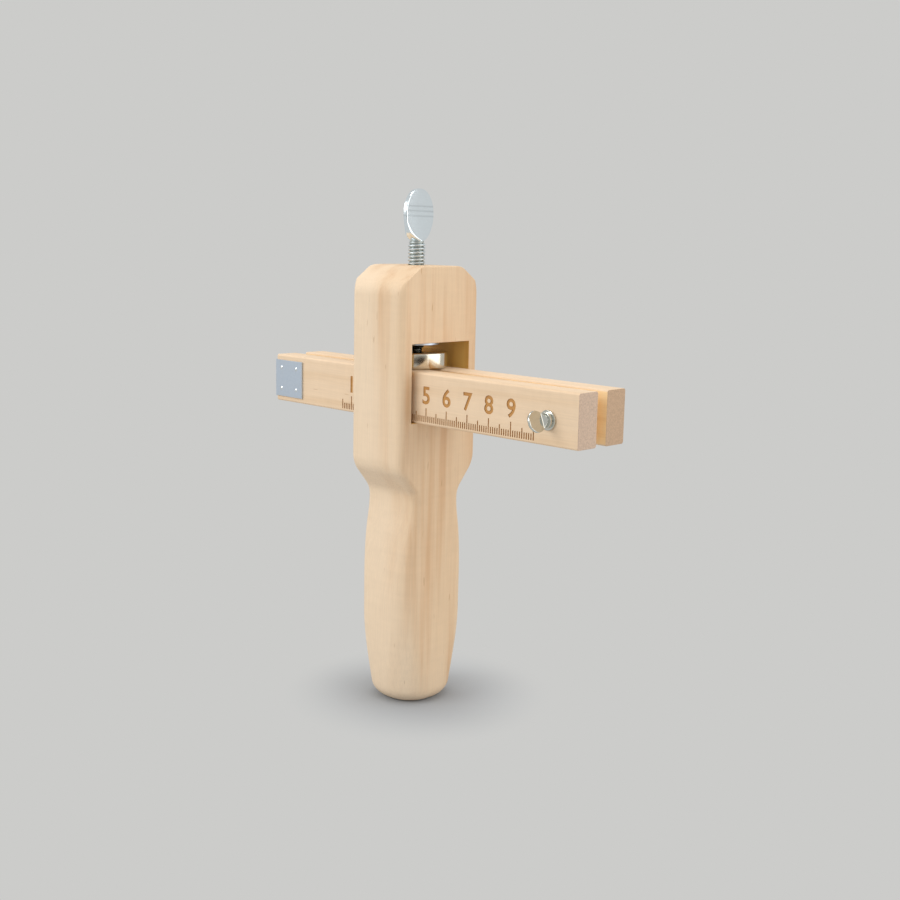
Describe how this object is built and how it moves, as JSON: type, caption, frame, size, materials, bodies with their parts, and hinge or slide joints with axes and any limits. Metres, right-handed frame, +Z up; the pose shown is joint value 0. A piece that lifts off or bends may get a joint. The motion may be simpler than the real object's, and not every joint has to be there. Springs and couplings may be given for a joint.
{
  "type": "leather strap cutter",
  "caption": "Hand-held wooden strap cutter: sliding arms in the handle's mortise, a blade across the leather slot, a clamp screw on top and a screw that sets the slot.",
  "frame": {"origin": "centre of the flat foot of the handle", "axes": "+Z up the handle, +X along the arms towards the small thumb screw, -Y the front, where the plate and the small screw are"},
  "size_m": [0.1536, 0.0417, 0.1893],
  "materials": {
    "handle_wood": "sanded, oiled pale hardwood",
    "arm_wood": "planed, oiled pale hardwood",
    "zinc_plated_steel": "satin zinc plate",
    "bright_plated_steel": "bright plate",
    "blade_steel": "ground"
  },
  "bodies": {
    "handle": {"handle": "handle_wood", "clamp_tee_nut": "zinc_plated_steel"},
    "front_arm": {"front_arm": "arm_wood", "blade": "blade_steel", "blade_plate": "zinc_plated_steel", "plate_pins": "bright_plated_steel", "adjust_washer": "bright_plated_steel"},
    "rear_arm": {"rear_arm": "arm_wood", "adjust_tee_nut": "zinc_plated_steel"},
    "adjust_screw": {"adjust_screw": "bright_plated_steel"},
    "pressure_pad": {"pressure_pad": "bright_plated_steel"},
    "clamp_screw": {"clamp_screw": "bright_plated_steel"}
  },
  "joints": [
    {"name": "arm_slide", "type": "slide", "parent": "handle", "child": "front_arm", "axis": [1, 0, 0], "range_m": [-0.0575, 0.038]},
    {"name": "adjust_turn", "type": "hinge", "parent": "front_arm", "child": "adjust_screw", "pos_m": [0.0752, 0, 0.11535], "axis": [0, 1, 0], "range_deg": [-1362, 1952]},
    {"name": "gap_slide", "type": "slide", "parent": "front_arm", "child": "rear_arm", "axis": [0, 1, 0], "range_m": [-0.0043, 0.003]},
    {"name": "clamp_slide", "type": "slide", "parent": "handle", "child": "pressure_pad", "axis": [0, 0, 1], "range_m": [0, 0.0024]},
    {"name": "clamp_turn", "type": "hinge", "parent": "pressure_pad", "child": "clamp_screw", "pos_m": [0, 0, 0.1312], "axis": [0, 0, 1], "range_deg": [0, 682]}
  ],
  "couplings": [
    {"joint": "adjust_turn", "follows": "gap_slide", "rad_per_m": -7913.3},
    {"joint": "clamp_turn", "follows": "clamp_slide", "rad_per_m": 4947.4}
  ]
}
